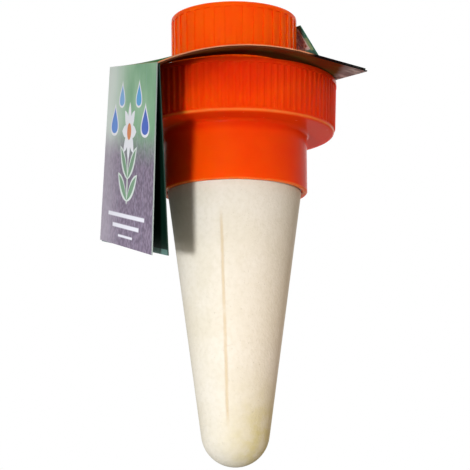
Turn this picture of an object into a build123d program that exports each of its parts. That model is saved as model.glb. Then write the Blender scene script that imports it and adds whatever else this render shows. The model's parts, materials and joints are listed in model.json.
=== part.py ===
"""A self-watering spike: a hollow ceramic cone under a moulded head with two bottle sockets.

The origin is on the spike's axis at the soil line, the lower face of the head's skirt. +Z points up.
Lengths are in millimetres and angles in degrees.
"""

import os
from math import acos, asin, atan2, cos, hypot, radians, sin, tan

from build123d import *

# Bottle necks that the two sockets take
small_neck_thread_d = 27.4
small_neck_root_d = 24.9
small_neck_bead_d = 28.0
small_neck_pitch = 2.7
small_neck_depth = 16.15
small_neck_bead_depth = 10.75
large_neck_thread_d = 47.4
large_neck_root_d = 45.0
large_neck_pitch = 4.0
thread_clearance = 0.3
bead_clearance = 0.2

# Thread ridges, as axial widths at the foot and at the crest, the slack of a groove over its ridge,
# and how far a fused bar is sunk or a cutting bar stands proud
large_ridge_foot = 2.0
large_ridge_crest = 1.1
small_ridge_foot = 0.95
small_ridge_crest = 0.45
flank_clearance = 0.3
run_in = 0.5

# Ceramic cone
cone_length = 69.2
cone_half_angle = 7.815
cone_wall = 3.5
neck_r = 16.54
neck_wall = 3.6
cone_shoulder = 0.42
neck_head_gap = 0.25

# Bonding compound between the neck and the skirt
bond_thickness = 0.6
bond_mouth_inset = 0.8
bond_skin = 0.02

# Head: skirt, web and collar
skirt_wall = 1.4
skirt_height = 15.14
skirt_mouth_chamfer = 0.25
web_thickness = 2.0
web_hole_r = 9.0
underside_fillet = 0.9
collar_height = 13.4
collar_wall = 1.54
collar_draft = 1.9
collar_lip_height = 0.9
collar_lip_round = 0.6
collar_band_height = 1.2
collar_band_step = 0.045
collar_rib_count = 92
collar_rib_r = 0.6
collar_rib_height = 0.3
collar_rib_overlap = 0.4
collar_lead_in = 0.7

# Adapter: threaded plug below, ribbed socket above
adapter_sink = 0.2
plug_wall = 2.4
plug_top_chamfer = 0.5
shoulder_thickness = 2.0
socket_wall = 1.69
socket_draft = 0.6
socket_band_height = 1.3
socket_rib_count = 36
socket_rib_width = 1.15
socket_rib_height = 0.33
socket_rib_overlap = 0.43
socket_rim_round = 0.45
adapter_hole_r = 6.0
spigot_height = 1.0
spigot_wall = 0.8

# Washers
adapter_seal_thickness = 1.5
bottle_seal_thickness = 1.5
bottle_seal_width = 3.6
bottle_seal_undercut = 0.6
seal_side_gap = 0.2
seal_face_gap = 0.03

# Leaflet: sheet, hole and arch
card_thickness = 0.3
ply_gap = 0.1
crease_gap = 0.06
card_turn = 20.1
card_tilt = 13.9
card_twist = 4.0
card_roll = 1.25
near_rise = 6.0
far_rise = 2.35
straight_run = 14.9
hole_clearance = 1.4
cap_gap = 0.4
near_strip = 12.0
far_strip = 2.2
fold_overhang = 1.7
fold_skew = 3.0
right_inset = 2.7
cover_step = 0.4
rim_gap = 0.3

# Leaflet: hanging leaves and end flap
leaf_length = 45.4
cover_lean_near = 2.3
cover_lean_far = 0.4
back_lean_near = 6.6
back_lean_far = 0.4
flap_step = 0.5
flap_setback = 21.75
flap_width = 22.0
flap_length = 15.5
flap_taper = 6.9
flap_gap = 0.5

# Radii that follow from the necks and the walls
small_crest_r = small_neck_root_d / 2 + thread_clearance
small_groove_r = small_neck_thread_d / 2 + thread_clearance
pilot_r = small_neck_bead_d / 2 + bead_clearance
seal_seat_r = small_crest_r + bottle_seal_undercut
plug_root_r = large_neck_root_d / 2
plug_crest_r = large_neck_thread_d / 2
collar_crest_r = plug_root_r + thread_clearance
collar_groove_r = plug_crest_r + thread_clearance
collar_foot_r = collar_groove_r + collar_wall
skirt_bore_r = neck_r + bond_thickness
skirt_r = skirt_bore_r + skirt_wall
cone_r = neck_r + cone_shoulder

# Heights that follow from one another
web_top = skirt_height + web_thickness
rim_z = skirt_height + collar_height
shoulder_top = rim_z - adapter_sink
shoulder_bottom = shoulder_top - shoulder_thickness
plug_bottom = web_top + adapter_seal_thickness + 2 * seal_face_gap
seal_seat_top = shoulder_top + bottle_seal_thickness + 2 * seal_face_gap
socket_top = shoulder_top + bottle_seal_thickness + small_neck_depth
pilot_bottom = shoulder_top + bottle_seal_thickness + small_neck_bead_depth

# Drafted walls: how far each grows over its height
collar_rim_foot_r = collar_foot_r + collar_height * tan(radians(collar_draft))
collar_rim_r = collar_rim_foot_r + collar_rib_height + collar_band_step
socket_height = socket_top - shoulder_top
socket_top_foot_r = pilot_r + socket_wall
socket_foot_r = socket_top_foot_r - socket_height * tan(radians(socket_draft))
socket_top_r = socket_top_foot_r + socket_rib_height

upward = (Align.CENTER, Align.CENTER, Align.MIN)


def turned(points):
    """The solid that an outline of (radius, height) points sweeps in one turn about the axis."""
    return revolve(Plane.XZ * make_face(Polyline(*points, close=True)), Axis.Z)


def ring_edges(body, radius, height):
    """The round edges of a turned body that have this radius and height."""
    def is_ring(edge):
        same_radius = abs(edge.radius - radius) < 1e-3
        return same_radius and abs(edge.arc_center.Z - height) < 1e-3
    return [edge for edge in body.edges().filter_by(GeomType.CIRCLE) if is_ring(edge)]


def helical_bar(low_r, high_r, low_width, high_width, pitch, z_low, z_high):
    """A bar of trapezium section wound along a right-hand helix.

    Its angle depends on its height alone, so a ridge and a groove of one pitch stay in step.
    """
    middle_r = (low_r + high_r) / 2
    half_depth = (high_r - low_r) / 2
    path = Helix(pitch, z_high - z_low, middle_r)
    corners = [
        (-half_depth, -low_width / 2),
        (half_depth, -high_width / 2),
        (half_depth, high_width / 2),
        (-half_depth, low_width / 2),
    ]
    start = Plane(origin=path @ 0, x_dir=(1, 0, 0), z_dir=path % 0)
    section = start * make_face(Polyline(*corners, close=True))
    bar = sweep(section, path=path, is_frenet=True)
    return Pos(0, 0, z_low) * Rot(0, 0, 360 * z_low / pitch) * bar


def widened(foot, crest, depth, extra):
    """A ridge's width where its flanks are carried on past its foot by an extra depth."""
    return foot + (foot - crest) * extra / depth


def around(piece, count):
    """Copies of a piece at equal steps about the axis."""
    return [Rot(0, 0, 360 * step / count) * piece for step in range(count)]


def ceramic_cone():
    """The slip-cast spike: a tapered hollow shell with a ball tip and a plain neck."""
    slope = tan(radians(cone_half_angle))
    lean_sin = sin(radians(cone_half_angle))
    lean_cos = cos(radians(cone_half_angle))
    tip_r = (cone_r - slope * cone_length) / (lean_cos - slope * (1 - lean_sin))
    ball_z = tip_r - cone_length
    inner_tip_r = tip_r - cone_wall
    neck_top = skirt_height - neck_head_gap
    inner_neck_r = neck_r - neck_wall
    inner_cone_r = cone_r - cone_wall / lean_cos

    def shell(ball_r, top_r, throat_r, top_z):
        """A taper that ends in a ball below and in a straight neck above."""
        touch = (ball_r * lean_cos, ball_z - ball_r * lean_sin)
        halfway = radians(90 - cone_half_angle) / 2
        middle = (ball_r * sin(halfway), ball_z - ball_r * cos(halfway))
        bottom = (0, ball_z - ball_r)
        wall = Polyline(touch, (top_r, 0), (throat_r, 0), (throat_r, top_z), (0, top_z), bottom)
        outline = make_face(ThreePointArc(bottom, middle, touch) + wall)
        return revolve(Plane.XZ * outline, Axis.Z)

    outside = shell(tip_r, cone_r, neck_r, neck_top)
    return outside - shell(inner_tip_r, inner_cone_r, inner_neck_r, neck_top + 1)


def cone_bond():
    """The ring of compound between the cone's neck and the skirt's bore."""
    low, high = bond_mouth_inset, skirt_height - neck_head_gap
    inner, outer = neck_r + bond_skin, skirt_bore_r - bond_skin
    return turned([(inner, low), (outer, low), (outer, high), (inner, high)])


def spike_head():
    """The main moulding: skirt for the cone, web with its water hole, and the ribbed threaded collar."""
    slope = tan(radians(collar_draft))
    band_z = rim_z - collar_band_height
    band_foot_r = collar_foot_r + (band_z - skirt_height) * slope
    groove_top = rim_z + large_neck_pitch
    body = turned([
        (skirt_r, 0),
        (skirt_r, skirt_height),
        (collar_foot_r, skirt_height),
        (band_foot_r, band_z),
        (collar_rim_r, band_z),
        (collar_rim_r, groove_top + large_neck_pitch),
        (collar_crest_r, groove_top + large_neck_pitch),
        (collar_crest_r, web_top),
        (web_hole_r, web_top),
        (web_hole_r, skirt_height),
        (skirt_bore_r, skirt_height),
        (skirt_bore_r, 0),
    ])
    body = fillet(ring_edges(body, skirt_r, skirt_height), underside_fillet)
    body = fillet(ring_edges(body, collar_foot_r, skirt_height), collar_lip_round)
    body = chamfer(ring_edges(body, skirt_bore_r, 0) + ring_edges(body, skirt_r, 0), skirt_mouth_chamfer)

    # Thread for a large bottle neck, which also takes the adapter's plug. The collar is made too tall,
    # and is cut off at the rim so that the groove runs out there
    depth = plug_crest_r - plug_root_r
    mouth = large_ridge_foot + 2 * flank_clearance
    floor = large_ridge_crest + 2 * flank_clearance
    body -= helical_bar(
        collar_crest_r - run_in,
        collar_groove_r,
        widened(mouth, floor, depth, run_in),
        floor,
        large_neck_pitch,
        plug_bottom + large_ridge_foot / 2,
        groove_top,
    )
    body -= Pos(0, 0, rim_z) * Cylinder(2 * collar_rim_r, 2 * groove_top, align=upward)
    body -= turned([
        (collar_crest_r - run_in, rim_z - collar_lead_in - run_in),
        (collar_crest_r + collar_lead_in + run_in, rim_z + run_in),
        (collar_crest_r - run_in, rim_z + run_in),
    ])

    # Grip ribs: round bars sunk in the drafted wall, ball-ended below and running into the band above
    rib_z = skirt_height + collar_lip_height + collar_rib_r
    sink = collar_rib_r - collar_rib_height
    rib_foot_r = collar_foot_r + (rib_z - skirt_height) * slope - sink
    rib_length = (band_z + collar_rib_overlap - rib_z) / cos(radians(collar_draft))
    rib_line = Plane(origin=(rib_foot_r, 0, rib_z), z_dir=(slope, 0, 1))
    rib = rib_line * Cylinder(collar_rib_r, rib_length, align=upward)
    rib += rib_line * Sphere(collar_rib_r)
    return body + around(rib, collar_rib_count)


def bottle_adapter():
    """The screw-in socket: a threaded plug, a shoulder with a water hole, and a ribbed threaded socket."""
    spigot_r = plug_root_r - plug_wall
    plug_bore_r = spigot_r - spigot_wall
    body = turned([
        (adapter_hole_r, shoulder_bottom),
        (plug_bore_r, shoulder_bottom),
        (plug_bore_r, plug_bottom - spigot_height),
        (spigot_r, plug_bottom - spigot_height),
        (spigot_r, plug_bottom),
        (plug_root_r, plug_bottom),
        (plug_root_r, shoulder_top),
        (socket_foot_r, shoulder_top),
        (socket_top_foot_r - socket_band_height * tan(radians(socket_draft)), socket_top - socket_band_height),
        (socket_top_r, socket_top - socket_band_height),
        (socket_top_r, socket_top),
        (small_crest_r, socket_top),
        (small_crest_r, seal_seat_top),
        (seal_seat_r, seal_seat_top),
        (seal_seat_r, shoulder_top),
        (adapter_hole_r, shoulder_top),
    ])
    body = fillet(ring_edges(body, socket_top_r, socket_top), socket_rim_round)
    body = chamfer(ring_edges(body, plug_root_r, shoulder_top), plug_top_chamfer)

    # Female thread for a small bottle neck, which runs out in the plain pilot at the mouth
    small_depth = small_groove_r - small_crest_r
    small_mouth = small_ridge_foot + flank_clearance
    small_floor = small_ridge_crest + flank_clearance
    body -= helical_bar(
        small_crest_r - run_in,
        small_groove_r,
        widened(small_mouth, small_floor, small_depth, run_in),
        small_floor,
        small_neck_pitch,
        shoulder_top + bottle_seal_thickness + small_ridge_foot,
        pilot_bottom + small_neck_pitch / 2,
    )
    body -= Pos(0, 0, pilot_bottom) * Cylinder(pilot_r, socket_height, align=upward)

    # Grip ribs: flat bars on the drafted socket, from the shoulder up into the plain band
    slope = tan(radians(socket_draft))
    bar_height = socket_height - socket_band_height + socket_rib_overlap
    bar_line = Plane(origin=(socket_foot_r, 0, shoulder_top), z_dir=(slope, 0, 1))
    bar = Box(socket_rib_height + run_in, socket_rib_width, bar_height, align=upward)
    body += around(bar_line * Pos((socket_rib_height - run_in) / 2, 0, 0) * bar, socket_rib_count)

    # Male thread on the plug, a copy of a large bottle neck's
    depth = plug_crest_r - plug_root_r
    return body + helical_bar(
        plug_root_r - run_in,
        plug_crest_r,
        widened(large_ridge_foot, large_ridge_crest, depth, run_in),
        large_ridge_crest,
        large_neck_pitch,
        plug_bottom + large_ridge_foot,
        shoulder_top - plug_top_chamfer - large_ridge_foot / 2,
    )


def adapter_seal():
    """The flat washer that lies on the web and is kept on the adapter's spigot."""
    inner = plug_root_r - plug_wall + seal_side_gap
    outer = collar_crest_r - seal_side_gap
    low = web_top + seal_face_gap
    high = low + adapter_seal_thickness
    return turned([(inner, low), (outer, low), (outer, high), (inner, high)])


def bottle_seal():
    """The flat washer that is snapped into its seat at the socket's floor, under the bottle's lip."""
    outer = seal_seat_r - seal_side_gap
    inner = outer - bottle_seal_width
    low = shoulder_top + seal_face_gap
    high = low + bottle_seal_thickness
    return turned([(inner, low), (outer, low), (outer, high), (inner, high)])


# Leaflet, worked out in its own frame: X along the panel, Y away from its near edge, Z up
hole_r = socket_top_r + hole_clearance
hole_y = cap_gap - hole_clearance
near_y = hole_y - hole_r - near_strip
far_y = hole_y + hole_r + far_strip
fold_x = -(collar_rim_r + fold_overhang)
right_x = collar_rim_r - right_inset


def past_left(arch, arc_length):
    """The angle of the point an arc length beyond the arch's left end."""
    return arch.left + arc_length / arch.r


class Arch:
    """A panel's section at one depth: an arc over a sloping chord, which runs out straight at the right.

    Its points are given as offsets outside the panel's lower face.
    """

    def __init__(self, y, left_z, slope, rise):
        left_x = fold_x + y * tan(radians(fold_skew))
        span = right_x - left_x
        right_z = left_z + span * tan(radians(slope))
        half = hypot(span, right_z - left_z) / 2
        self.y = y
        self.r = (half**2 + rise**2) / (2 * rise)
        drop = self.r - rise
        self.x = (left_x + right_x) / 2 + drop * sin(radians(slope))
        self.z = (left_z + right_z) / 2 - drop * cos(radians(slope))
        self.left = atan2(left_z - self.z, left_x - self.x)
        self.bend = acos((right_x - straight_run - self.x) / self.r)
        self.run = straight_run / sin(self.bend)

    def at(self, angle, offset):
        """The point at an angle about the arc's centre, an offset outside the arc."""
        reach = self.r + offset
        return Vector(self.x + reach * cos(angle), self.y, self.z + reach * sin(angle))

    def beyond(self, run, offset):
        """The point of the straight end that lies a run beyond the bend, an offset outside the lower face."""
        return self.at(self.bend, offset) + Vector(sin(self.bend), 0, -cos(self.bend)) * run

    def height_at(self, x):
        """The height of the lower face over x."""
        bend = self.at(self.bend, 0)
        if x > bend.X:
            return bend.Z - (x - bend.X) / tan(self.bend)
        return self.z + self.r * sin(acos((x - self.x) / self.r))

    def section(self, left_step, right_step, low):
        """The face of one sheet, a step longer at the left and shorter at the right, at an offset above."""
        high = low + card_thickness
        left = past_left(self, left_step)
        middle = (left + self.bend) / 2
        run = self.run - right_step
        below = ThreePointArc(self.at(left, low), self.at(middle, low), self.at(self.bend, low))
        above = ThreePointArc(self.at(self.bend, high), self.at(middle, high), self.at(left, high))
        end = Polyline(below @ 1, self.beyond(run, low), self.beyond(run, high), above @ 0)
        return make_face([below, *end.edges(), above, Line(above @ 1, below @ 0)])


def arches(lift):
    """The near and far arches of the leaflet, with the near left corner at this height."""
    far_lift = lift + (far_y - near_y) * tan(radians(card_tilt))
    near = Arch(near_y, lift, card_roll, near_rise)
    return near, Arch(far_y, far_lift, card_roll - card_twist, far_rise)


def least_rim_room(near, far):
    """The least height of the leaflet's lower face over the collar's rim, from points round the rim."""
    def room(angle):
        x, y = collar_rim_r * cos(angle), collar_rim_r * sin(angle)
        share = (y - near_y) / (far_y - near_y)
        return near.height_at(x) * (1 - share) + far.height_at(x) * share - rim_z
    on_panel = [radians(step) for step in range(360) if near_y < collar_rim_r * sin(radians(step)) < far_y]
    return min(room(angle) for angle in on_panel)


# The leaflet comes down until it rests on the rim
near_arch, far_arch = arches(rim_z + rim_gap - least_rim_room(*arches(rim_z)))
top_low = card_thickness + ply_gap
top_middle = top_low + card_thickness / 2
under_middle = card_thickness / 2
crease_reach = card_thickness / 2 + crease_gap


def placed(piece):
    """A piece of the leaflet, turned about the axis to where it lies."""
    return Rot(0, 0, card_turn) * piece


def hole():
    """The round cut that clears the adapter's socket."""
    return Pos(0, hole_y, socket_top) * Cylinder(hole_r, 2 * socket_top)


def panel(low, left_step, right_step):
    """One arched sheet with its hole, a step longer than the panel at the left and shorter at the right."""
    faces = [arch.section(left_step, right_step, low) for arch in (near_arch, far_arch)]
    return loft(faces, ruled=True) - hole()


def under_panel():
    """The lower sheet, which lies across the collar from end to end."""
    return placed(panel(0, 0, 0))


def top_panel():
    """The upper sheet, which ends where its flap turns up."""
    return placed(panel(top_low, cover_step, flap_step))


def hung_sheet(near, far, length, near_angle, far_angle):
    """A sheet on a crease from near to far, round at the crease.

    Each side edge is given by its angle about the crease: 0 hangs straight down, 90 points along +X.
    """
    along = (far - near).normalized()
    down = (Vector(0, 0, -1) + along * along.Z).normalized()
    inward = down.cross(along)

    def side(at, angle):
        reach = down * cos(radians(angle)) + inward * sin(radians(angle))
        outline = Pos(length / 2, 0) * Rectangle(length, card_thickness) + Circle(card_thickness / 2)
        return Plane(origin=at, x_dir=reach, z_dir=along) * outline

    return loft([side(near, near_angle), side(far, far_angle)], ruled=True)


def crease(left_step, offset):
    """The ends of the crease just beyond the left end of a sheet."""
    return [arch.at(past_left(arch, left_step + crease_reach), offset) for arch in (near_arch, far_arch)]


def cover_leaf():
    """The upper sheet's hanging end, the outer leaf."""
    ends = crease(cover_step, top_middle)
    return placed(hung_sheet(*ends, leaf_length, cover_lean_near, cover_lean_far))


def back_leaf():
    """The lower sheet's hanging end, which lies a little open behind the cover leaf."""
    ends = crease(0, under_middle)
    return placed(hung_sheet(*ends, leaf_length, back_lean_near, back_lean_far))


def flap_crease():
    """The ends of the crease just beyond the right end of the upper sheet and above its upper face."""
    past = crease_reach + crease_gap - flap_step
    above = top_low + card_thickness + crease_gap
    near, far = [arch.beyond(arch.run + past, above) for arch in (near_arch, far_arch)]
    along = (far - near).normalized()
    return near + along * flap_setback, near + along * (flap_setback + flap_width)


def end_flap():
    """The upper sheet's other end, a tapered flap that is bent up and leans in until it nears the adapter."""
    near, far = flap_crease()
    along = (far - near).normalized()
    upright = (Vector(0, 0, 1) - along * along.Z).normalized()
    lean = asin((near.X - socket_top_r - flap_gap) / flap_length)
    reach = upright * cos(lean) + upright.cross(along) * sin(lean)
    corners = [
        (0, 0),
        (flap_width, 0),
        (flap_width - flap_taper, flap_length),
        (flap_taper, flap_length),
    ]
    outline = Plane(origin=near, x_dir=along, z_dir=along.cross(reach)) * make_face(Polyline(*corners, close=True))
    sheet = extrude(outline, card_thickness / 2, both=True)
    bend = Plane(origin=near, z_dir=along) * Cylinder(card_thickness / 2, flap_width, align=upward)
    return placed(sheet + bend)


pieces = {
    "ceramic_cone": ceramic_cone,
    "cone_bond": cone_bond,
    "spike_head": spike_head,
    "adapter_seal": adapter_seal,
    "bottle_adapter": bottle_adapter,
    "bottle_seal": bottle_seal,
    "card_under_panel": under_panel,
    "card_top_panel": top_panel,
    "card_cover_leaf": cover_leaf,
    "card_back_leaf": back_leaf,
    "card_end_flap": end_flap,
}

os.makedirs("parts", exist_ok=True)
for name, make in pieces.items():
    export_step(make(), f"parts/{name}.step")
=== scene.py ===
"""A self-watering spike: ceramic cone, moulded head and bottle adapter, with a folded leaflet."""
import json
from math import cos, radians, sin

import bpy
from mathutils import Color, Matrix, Vector

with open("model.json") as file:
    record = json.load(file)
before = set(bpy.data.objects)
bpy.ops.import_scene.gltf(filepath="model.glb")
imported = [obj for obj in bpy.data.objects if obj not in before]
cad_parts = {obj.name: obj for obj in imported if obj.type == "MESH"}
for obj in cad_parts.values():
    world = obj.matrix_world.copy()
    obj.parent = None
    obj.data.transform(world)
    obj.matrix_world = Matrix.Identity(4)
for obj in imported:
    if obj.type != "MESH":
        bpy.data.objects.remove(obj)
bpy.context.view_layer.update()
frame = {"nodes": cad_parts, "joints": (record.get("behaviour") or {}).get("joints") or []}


# Ceramic cone
# Slip-cast in a two-part mould and fired without glaze, so that water seeps through its wall. The
# dry face is finely grained, with a faint mould seam front and back and a stain towards the tip,
# kept to the right side, where it is partly painted shade.
class Field:
    """One socket of a recipe. Arithmetic between fields and numbers adds Math nodes."""

    def __init__(self, recipe, socket):
        self.recipe = recipe
        self.socket = socket

    def math(self, operation, *terms):
        """Adds a Math node on fields and numbers."""
        return self.recipe.node("ShaderNodeMath", {"operation": operation}, dict(enumerate(terms)))

    def __add__(self, other):
        return self.math("ADD", self, other)

    def __sub__(self, other):
        return self.math("SUBTRACT", self, other)

    def __rsub__(self, other):
        return self.math("SUBTRACT", other, self)

    def __mul__(self, other):
        return self.math("MULTIPLY", self, other)

    def __pow__(self, other):
        return self.math("POWER", self, other)

    def __abs__(self):
        return self.math("ABSOLUTE", self)

    __radd__ = __add__
    __rmul__ = __mul__

    def most(self, other):
        """The larger of two values."""
        return self.math("MAXIMUM", self, other)

    def rise(self, low, high):
        """0 below low and 1 above high, smooth between them; it falls where low is the larger."""
        limits = {"Value": self, "From Min": low, "From Max": high}
        return self.recipe.node("ShaderNodeMapRange", {"interpolation_type": "SMOOTHSTEP"}, limits)

    def band(self, low, high, soft):
        """1 between low and high, with soft ends."""
        return self.rise(low - soft, low + soft) * self.rise(high + soft, high - soft)


class Recipe:
    """The nodes of a material or of the world, round the one shader that its fields feed."""

    def __init__(self, owner, shader):
        owner.use_nodes = True
        self.tree = owner.node_tree
        self.shader = self.tree.nodes[shader]

    def node(self, kind, settings, inputs, output=0):
        """Adds a node: its settings first, then a number, a colour or a link for each socket."""
        made = self.tree.nodes.new(kind)
        for label, value in settings.items():
            setattr(made, label, value)
        for label, value in inputs.items():
            if isinstance(value, Field):
                self.tree.links.new(value.socket, made.inputs[label])
            else:
                made.inputs[label].default_value = value
        return Field(self, made.outputs[output])

    def feed(self, label, field):
        """Links a field to one of the shader's sockets."""
        self.tree.links.new(field.socket, self.shader.inputs[label])


class Finish(Recipe):
    """A procedural material on a piece's own coordinates, with its fields' sizes in millimetres."""

    def __init__(self, name, **constants):
        self.material = bpy.data.materials.new(name)
        super().__init__(self.material, "Principled BSDF")
        for label, value in constants.items():
            self.shader.inputs[label.replace("_", " ")].default_value = value
        self.place = self.node("ShaderNodeTexCoord", {}, {}, "Object")

    def noise(self, size, detail=2.0):
        """Noise about 0.5 whose features are about a size."""
        inputs = {"Vector": self.place, "Scale": 1000 / size, "Detail": detail}
        return self.node("ShaderNodeTexNoise", {}, inputs, "Fac")

    def dot(self, vector, direction):
        """How far a vector reaches along a direction."""
        inputs = {0: vector, 1: direction}
        return self.node("ShaderNodeVectorMath", {"operation": "DOT_PRODUCT"}, inputs, "Value")

    def along(self, direction, origin=Vector()):
        """How far a point lies along a direction, from an origin in the frame's metres."""
        return (self.dot(self.place, direction) - origin.dot(direction)) * 1000

    def facing(self, direction):
        """How squarely a face looks along a direction, from -1 to 1."""
        return self.dot(self.node("ShaderNodeTexCoord", {}, {}, "Normal"), direction)

    def mix(self, mask, low, high):
        """The colour low where the mask is 0, and high where it is 1."""
        return self.node("ShaderNodeMix", {"data_type": "RGBA"}, {0: mask, 6: low, 7: high}, 2)

    def layers(self, base, *coats):
        """A base colour under coats, each given as its mask and its colour."""
        for mask, colour in coats:
            base = self.mix(mask, base, colour)
        return base

    def bump(self, height, depth):
        """Feeds the normal from a height field, where 1 stands for a depth."""
        inputs = {"Height": height, "Distance": depth / 1000}
        self.feed("Normal", self.node("ShaderNodeBump", {}, inputs, "Normal"))

    def put_on(self, *names):
        """Gives the finish to CAD nodes."""
        for name in names:
            frame["nodes"][name].material_slots[0].material = self.material


def ink(red, green, blue):
    """A colour given as 8-bit display values, in the linear units that a shader takes."""
    linear = Color((red / 255, green / 255, blue / 255)).from_srgb_to_scene_linear()
    return (*linear, 1.0)


sideways, inward, upward = Matrix.Identity(3)
seam_turn = radians(12)
seam_foot, seam_head = -58, -9
stain_head, stain_foot = -44, -64

ceramic = Finish("unglazed_ceramic")
height = ceramic.along(upward)
across_seam = ceramic.along(Vector((cos(seam_turn), -sin(seam_turn), 0)))
wander = (ceramic.noise(6) - 0.5) * 0.3
seam = abs(across_seam + wander).rise(0.6, 0.12) * height.band(seam_foot, seam_head, 3)
seam = seam * ceramic.noise(4).rise(0.1, 0.5)
cloud = ceramic.noise(11, 4).rise(0.3, 0.72)
mottle = ceramic.noise(1.1, 4).rise(0.35, 0.75)
grain = ceramic.noise(0.6, 3)
pits = ceramic.noise(0.4, 1).rise(0.70, 0.78)
# This mask keeps the stain to the right side, where it is partly painted shade for that side's darker,
# warmer tone.
right_side_shade = ceramic.along(sideways).rise(-7, 9)
stain_and_shade = height.rise(stain_head, stain_foot) * right_side_shade
stain_and_shade = stain_and_shade * (0.5 + 0.5 * ceramic.noise(3, 4).rise(0.35, 0.65))
clay = ceramic.layers(
    ceramic.mix(cloud, ink(208, 201, 185), ink(202, 194, 174)),
    (stain_and_shade * 0.95, ink(184, 171, 108)),
    (mottle * 0.3, ink(188, 179, 155)),
    (pits * 0.2, ink(163, 149, 121)),
    (seam * 0.6, ink(187, 164, 124)),
)
ceramic.feed("Base Color", clay)
ceramic.feed("Roughness", 0.82 + 0.14 * grain)
ceramic.bump(grain - pits * 0.6 + seam * 0.7, 0.1)
ceramic.put_on("ceramic_cone")


# Bonding compound
# A pale two-part compound run in round the cone's neck, which fixes the cone in the skirt and
# seals it. It sets with fine bubbles and a dull skin.
compound = Finish("cured_compound")
bubbles = compound.noise(0.5, 1).rise(0.62, 0.72)
compound.feed("Base Color", compound.mix(bubbles, ink(214, 206, 188), ink(170, 160, 140)))
compound.feed("Roughness", 0.5 + 0.25 * compound.noise(2))
compound.bump(1 - bubbles, 0.05)
compound.put_on("cone_bond")


# Head
# Injection-moulded plastic, a little translucent, with grip ribs round the collar. Painted shade
# deepens its tone at the sides, towards the collar's rim and in the corner below the collar, and a
# painted highlight pales its lips.
def moulding(name, bright, deep, scuff_share):
    """A plastic with a fine ripple and scuffs, and its colour: two tones that part at flow marks."""
    finish = Finish(
        name,
        IOR=1.49,
        Specular_IOR_Level=0.035,
        Subsurface_Weight=0.8,
        Subsurface_Radius=(1.0, 0.3, 0.1),
        Subsurface_Scale=0.004,
    )
    flow = finish.noise(14, 3).rise(0.3, 0.75)
    scuffs = finish.noise(1.8, 5).rise(0.66, 0.76) * scuff_share
    finish.feed("Roughness", 0.17 + 0.08 * finish.noise(3, 3) + 0.2 * scuffs)
    finish.bump(finish.noise(1.1) + scuffs * 0.3, 0.012)
    return finish, finish.mix(flow, bright, deep)


head_plastic, head_tone = moulding(
    "head_moulding", bright=ink(252, 76, 3), deep=ink(247, 64, 3), scuff_share=0.5
)
level = head_plastic.along(upward)
# Painted highlight: pale bands along the collar's and the skirt's lower lips, broken up by noise.
collar_lip = level.band(15.35, 15.85, 0.25)
skirt_lip = level.band(-0.2, 0.35, 0.2) * 0.6
lip_highlight = collar_lip.most(skirt_lip) * head_plastic.noise(9).rise(0.1, 0.6) * 0.7
# Painted shade in a deeper red: in the corner below the collar, on the collar towards its rim, and on
# its sides.
corner_shade = level.band(12.9, 15.2, 0.9) * 0.5
rim_shade = level.rise(18, 27) * 0.7
flank_shade = abs(head_plastic.along(sideways)).rise(6, 21) * 0.6
head_tone = head_plastic.layers(
    head_tone,
    # The deep red is painted shade, mixed in where the corner, rim and flank masks are largest.
    (corner_shade.most(rim_shade).most(flank_shade), ink(226, 40, 8)),
    # The pale orange here is the painted highlight on the lips.
    (lip_highlight, ink(255, 142, 62)),
)
head_plastic.feed("Base Color", head_tone)
head_plastic.put_on("spike_head")


# Washers
# Two flat rings cut from black rubber sheet. One seals the adapter's plug on the head's web, and
# the other lies in the socket's seat under the bottle's lip.
rubber = Finish("washer_rubber")
bloom = rubber.noise(3, 4).rise(0.4, 0.8)
rubber.feed("Base Color", rubber.mix(bloom, ink(34, 34, 36), ink(62, 61, 62)))
rubber.feed("Roughness", 0.6 + 0.25 * bloom)
rubber.bump(rubber.noise(0.4), 0.02)
rubber.put_on("adapter_seal", "bottle_seal")


# Bottle adapter
# Moulded in the same plastic as the head, and coloured a little more yellow as painted light, for the
# cap that stands in brighter light above the leaflet. Flat flutes give grip round its socket, and its
# plug screws into the collar.
# The tones here are the head's plastic made more yellow: painted light for the brighter cap.
adapter_plastic, adapter_tone = moulding(
    "adapter_moulding", bright=ink(253, 86, 4), deep=ink(249, 76, 4), scuff_share=0.35
)
adapter_plastic.feed("Base Color", adapter_tone)
adapter_plastic.put_on("bottle_adapter")


# Leaflet, hanging leaves
# Coated paper, offset printed on both faces, folded at the panel's edge and bare at its cut edges. The
# outer leaf has a hazy green sky over mauve pebbles, with garden emblems, and a painted sheen that
# pales it towards one edge; the inner one is deep green.
joints = {joint["name"]: joint for joint in frame["joints"]}


def sheet_axes(joint_name, way, lean):
    """A sheet's fold point, and its directions: along the fold, away from it and out of its face.

    The way that the sheet runs is squared to its fold and then turned about the fold by a lean.
    """
    joint = joints[joint_name]
    fold, crease = Vector(joint["pos_m"]), Vector(joint["axis"])
    run = (way - crease * way.dot(crease)).normalized()
    run = run * cos(lean) + run.cross(crease) * sin(lean)
    return fold, crease, run, crease.cross(run)


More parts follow.
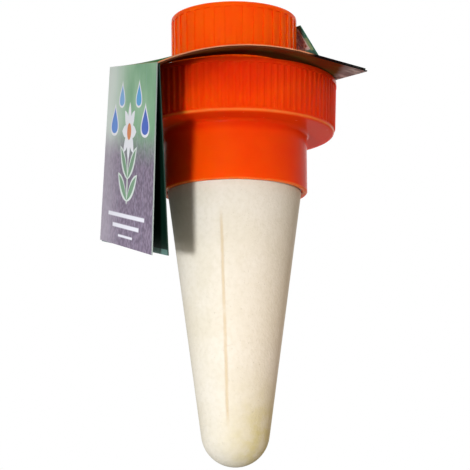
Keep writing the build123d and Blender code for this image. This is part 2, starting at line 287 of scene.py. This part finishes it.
class Sheet(Finish):
    """Coated paper whose print is laid out from a fold.

    Its field across runs along the fold from its middle, and its field down runs away from the
    fold. Its field front is 1 on the outer face, and its field cut is 1 on the cut edges.
    """

    def __init__(self, name, axes, gloss):
        super().__init__(name, IOR=1.46, Specular_IOR_Level=gloss)
        fold, crease, run, outward = axes
        self.across = self.along(-crease, fold)
        self.down = self.along(run, fold)
        self.front = self.facing(outward).rise(-0.1, 0.1)
        self.cut = abs(self.facing(crease)).most(abs(self.facing(run))).rise(0.6, 0.8)

    def drop(self, across, down, wide, tall):
        """A drop, point up: its half width at p is 0.77 (1 + p) sqrt(1 - p * p), from p = -1 to 1."""
        p = (self.down - down) * (1 / tall)
        q = abs(self.across - across) * (1 / wide)
        inside = (1 - p * p).most(0) ** 0.5 * (1 + p) * 0.77 - q
        return inside.rise(-0.03, 0.05)

    def blade(self, down, length, width, lean):
        """A leaf blade from a point on the middle line: a lens along a line that leans from upright."""
        x, y = self.across, self.down - down
        p = (x * sin(lean) - y * cos(lean)) * (2 / length) - 1
        q = abs(x * cos(lean) + y * sin(lean)) * (2 / width)
        return (1 - p * p - q).rise(-0.04, 0.06)

    def disc(self, down, radius):
        """A round spot about a point on the middle line."""
        x, y = self.across, self.down - down
        return (x * x + y * y).rise(radius * radius * 1.15, radius * radius * 0.85)


def dress(paper, colour, cut, edge):
    """Feeds a print's colour and its cut edge's tone, with an uneven coating and the paper's tooth."""
    paper.feed("Base Color", paper.mix(cut, colour, edge))
    paper.feed("Roughness", 0.42 + 0.16 * paper.noise(4, 3) + 0.3 * cut)
    paper.bump(paper.noise(0.5, 3) + 0.8 * paper.noise(9), 0.03)


cover_lean, back_lean, leaf_gloss = radians(1.4), radians(3.5), 0.15
cover = Sheet("cover_print", sheet_axes("cover_leaf_lift", -upward, cover_lean), leaf_gloss)
haze = cover.noise(12, 3)
pebbles = cover.noise(1.2, 4).rise(0.35, 0.65)
ground = (cover.down + (haze - 0.5) * 9).rise(13, 25)
# The sky and the stones each pale towards one edge, a painted sheen of glare laid over the print.
sky_and_sheen = cover.layers(
    cover.mix(haze.rise(0.3, 0.7), ink(120, 170, 128), ink(150, 190, 152)),
    (cover.across.rise(1.5, -23.5) * 0.85, ink(232, 238, 230)),
)
stones_and_sheen = cover.layers(
    cover.mix(pebbles, ink(96, 82, 102), ink(134, 118, 138)),
    (cover.across.rise(-1.5, -25.5) * 0.55, ink(196, 186, 196)),
)
art = cover.mix(ground, sky_and_sheen, stones_and_sheen)

# Emblems: a flower on its stem in the middle, with drops on both sides and plain rules below
petal_white = ink(238, 238, 240)
bloom_at, stem_foot = 16.5, 34.5
for across, down, wide, tall, blue in (
    (-16, 13.4, 4.4, 4.4, ink(92, 140, 214)),
    (-9, 7.0, 3.4, 3.6, ink(128, 176, 224)),
    (9, 7.0, 3.4, 3.6, ink(84, 164, 220)),
    (16, 13.4, 4.4, 4.4, ink(58, 96, 190)),
):
    border = cover.drop(across, down, wide, tall)
    inner = cover.drop(across, down + 0.3, wide * 0.78, tall * 0.78)
    art = cover.layers(art, (border, petal_white), (inner, blue))
stem = cover.across.band(-0.5, 0.5, 0.2) * cover.down.band(bloom_at, stem_foot, 0.3)
art = cover.mix(stem, art, ink(208, 220, 206))
for down, lean in ((34.0, 0.95), (34.0, -0.95), (28.5, 0.8), (28.5, -0.8)):
    border = cover.blade(down, length=12, width=4.0, lean=lean)
    inner = cover.blade(down - 0.3, length=10.6, width=2.4, lean=lean)
    art = cover.layers(art, (border, ink(214, 222, 214)), (inner, ink(112, 150, 116)))
petals = 8
for petal in range(petals):
    ray = cover.blade(bloom_at, length=7.4, width=3.2, lean=radians(360 / petals * petal))
    art = cover.mix(ray, art, petal_white)
art = cover.mix(cover.disc(bloom_at, radius=2.1), art, ink(216, 128, 66))
for top, foot, half in ((37.2, 38.2, 18), (39.9, 40.9, 13), (42.6, 43.2, 7)):
    rule = cover.down.band(top, foot, 0.15) * cover.across.band(-half, half, 0.2)
    art = cover.mix(rule, art, ink(232, 230, 236))
rear = cover.mix(haze.rise(0.3, 0.7), ink(44, 96, 66), ink(64, 118, 82))
dress(cover, cover.mix(cover.front, rear, art), cover.cut, ink(156, 166, 158))
cover.put_on("card_cover_leaf")

back = Sheet("back_print", sheet_axes("back_leaf_lift", -upward, back_lean), leaf_gloss)
deep_green = back.mix(back.noise(12, 3).rise(0.3, 0.7), ink(2, 24, 15), ink(5, 32, 22))
foot_rule = back.down.band(44.0, 45.6, 0.1) * 0.6
dress(back, back.mix(foot_rule, deep_green, ink(106, 146, 136)), back.cut, ink(40, 58, 48))
back.put_on("card_back_leaf")


# Leaflet, panels across the collar
# The same two sheets where they lie one on the other, with a hole for the adapter. Brown and olive
# tones of earth are printed below, with a mauve and pale streaked end at the right, and green above.
def panel_print(name, near_rim):
    """A panel's print, with a tone for its near cut edge, which turns dark at the right-hand end."""
    panel = Finish(name, Specular_IOR_Level=0.0)
    right, depth = panel.along(sideways), panel.along(inward)
    turned_up = panel.facing(upward)
    patches = panel.noise(8, 4)
    earth_end = (right + (patches - 0.5) * 4).rise(25.5, 27.5)
    streaks = panel.noise(2.5, 3).rise(0.4, 0.6) * (right + depth * 0.2).band(24.5, 28.5, 1.2)
    earth = panel.layers(
        panel.mix(patches.rise(0.35, 0.65), ink(118, 52, 24), ink(112, 78, 34)),
        (earth_end, ink(156, 136, 130)),
        (streaks, ink(206, 192, 182)),
    )
    green = panel.mix(patches.rise(0.3, 0.7), ink(70, 128, 80), ink(120, 164, 118))
    rim = panel.mix(right.rise(18, 20), near_rim, ink(14, 14, 16))
    cut = abs(turned_up).rise(0.62, 0.45)
    dress(panel, panel.mix(turned_up.rise(-0.1, 0.1), earth, green), cut, rim)
    return panel


panel_print("top_panel_print", ink(226, 146, 104)).put_on("card_top_panel")
panel_print("under_panel_print", ink(96, 50, 30)).put_on("card_under_panel")


# Leaflet, end flap
# The upper sheet's other end, cut to a taper and bent up beside the adapter. A green margin with a
# pale stretch runs along its edge, and a russet field lies inside a thin white rule.
flap_width, flap_length, flap_taper = 22.0, 15.5, 6.9
flap_lean, flap_gloss = radians(26), 0.1
flap = Sheet("flap_print", sheet_axes("end_flap_fold", upward, flap_lean), flap_gloss)
inset = flap_width / 2 - abs(flap.across) - flap.down * (flap_taper / flap_length)
russet = flap.mix(flap.noise(1.6).rise(0.45, 0.6), ink(176, 92, 70), ink(222, 166, 142))
flap_art = flap.layers(
    flap.mix(flap.noise(4, 3).rise(0.3, 0.7), ink(56, 110, 92), ink(70, 128, 106)),
    (inset.rise(2.2, 1.8) * flap.down.band(8.4, 12.0, 0.3), ink(140, 176, 122)),
    (inset.rise(1.8, 2.1) * flap.down.band(8.8, 14.8, 0.15), ink(222, 204, 192)),
    (inset.rise(2.6, 2.9) * flap.down.band(9.6, 14.2, 0.15), russet),
)
dress(flap, flap_art, flap.cut, ink(38, 92, 72))
flap.put_on("card_end_flap")


# Studio
# A pale floor well below the spike's tip, soft spot lamps that light it mainly from the front left,
# and a camera that looks up at it from a little below its tip.
floor_z, floor_half = -0.22, 1.6
outline = ((-1, -1), (1, -1), (1, 1), (-1, 1))
corners = [(x * floor_half, y * floor_half, floor_z) for x, y in outline]
floor_mesh = bpy.data.meshes.new("studio_floor")
floor_mesh.from_pydata(corners, [], [(0, 1, 2, 3)])
floor = bpy.data.objects.new("studio_floor", floor_mesh)
bpy.context.scene.collection.objects.link(floor)
paint = Finish("studio_paint", Roughness=0.9)
paint_tone = paint.mix(paint.noise(50, 3), ink(240, 240, 239), ink(236, 236, 235))
paint.feed("Base Color", paint_tone)
painted = Field(paint, paint.shader.outputs[0])
glow = paint.node("ShaderNodeEmission", {}, {"Color": paint_tone})
glow_share = 0.7
watched = paint.node("ShaderNodeLightPath", {}, {}, "Is Camera Ray") * glow_share
blended = paint.node("ShaderNodeMixShader", {}, {0: watched, 1: painted, 2: glow})
paint.tree.links.new(blended.socket, paint.tree.nodes["Material Output"].inputs["Surface"])
floor_mesh.materials.append(paint.material)

world = bpy.data.worlds.new("studio_world")
bpy.context.scene.world = world
surround = Recipe(world, "Background")
surround.shader.inputs["Color"].default_value = (1, 1, 1, 1)
seen, mirrored, passed = (
    surround.node("ShaderNodeLightPath", {}, {}, f"Is {ray} Ray")
    for ray in ("Camera", "Glossy", "Transmission")
)
ambient, white = 0.38, 1.0
surround.feed("Strength", ambient + (white - ambient) * seen.most(mirrored).most(passed))


def soft_spot(name, place, aim_z, watts, angle, blend=0.7, size=0.04, tint=(1, 1, 1), shows=False):
    """A spot lamp with a soft edge, turned to a height on the axis; smooth faces show it or not."""
    data = bpy.data.lights.new(name, "SPOT")
    data.energy = watts
    data.color = tint
    data.spot_size = radians(angle)
    data.spot_blend = blend
    data.shadow_soft_size = size
    place = Vector(place)
    turn = (Vector((0, 0, aim_z)) - place).to_track_quat("-Z", "Y")
    lamp = bpy.data.objects.new(name, data)
    lamp.matrix_world = Matrix.LocRotScale(place, turn, None)
    lamp.visible_glossy = shows
    bpy.context.scene.collection.objects.link(lamp)


cool, warm, amber = (0.97, 1.0, 1.08), (1.0, 0.80, 0.64), (1.0, 0.6, 0.32)
soft_spot(
    "key_lamp", (-0.26, -0.70, -0.15), aim_z=-0.044, watts=24.5, angle=13.0,
    blend=0.5, tint=cool, shows=True,
)
soft_spot("cap_lamp", (-0.20, -0.68, 0.20), aim_z=0.078, watts=27.0, angle=7.2)
soft_spot("cap_fill", (0.50, -0.50, 0.20), aim_z=0.078, watts=11.0, angle=7.2)
soft_spot(
    "fill_lamp", (0.02, -0.62, -0.14), aim_z=-0.034, watts=2.3, angle=7.4, size=0.03, tint=warm
)
soft_spot("side_lamp", (0.60, -0.40, -0.12), aim_z=-0.042, watts=5.0, angle=10.0, tint=amber)
soft_spot("edge_lamp", (-0.70, -0.05, -0.14), aim_z=-0.050, watts=4.2, angle=9.0, blend=0.8)
soft_spot(
    "rear_lamp", (0.22, 0.72, 0.02), aim_z=-0.010, watts=17.0, angle=17.0, blend=0.6, size=0.08
)

eye = Vector((0.00009, -0.4361, -0.0922))
pitch, roll = radians(10.59), radians(-0.218)
focal_pixels, picture_pixels = 1750, 470
forward = Vector((0, cos(pitch), sin(pitch)))
level_up = Vector((0, -sin(pitch), cos(pitch)))
right = sideways * cos(roll) + level_up * sin(roll)
up = right.cross(forward)
camera_data = bpy.data.cameras.new("camera")
camera_data.sensor_width = 36.0
camera_data.lens = camera_data.sensor_width * focal_pixels / picture_pixels
camera_data.clip_start = 0.01
camera = bpy.data.objects.new("camera", camera_data)
camera.matrix_world = Matrix((right, up, -forward)).transposed().to_4x4()
camera.location = eye
bpy.context.scene.collection.objects.link(camera)
bpy.context.scene.camera = camera
bpy.context.scene.view_settings.view_transform = "Standard"
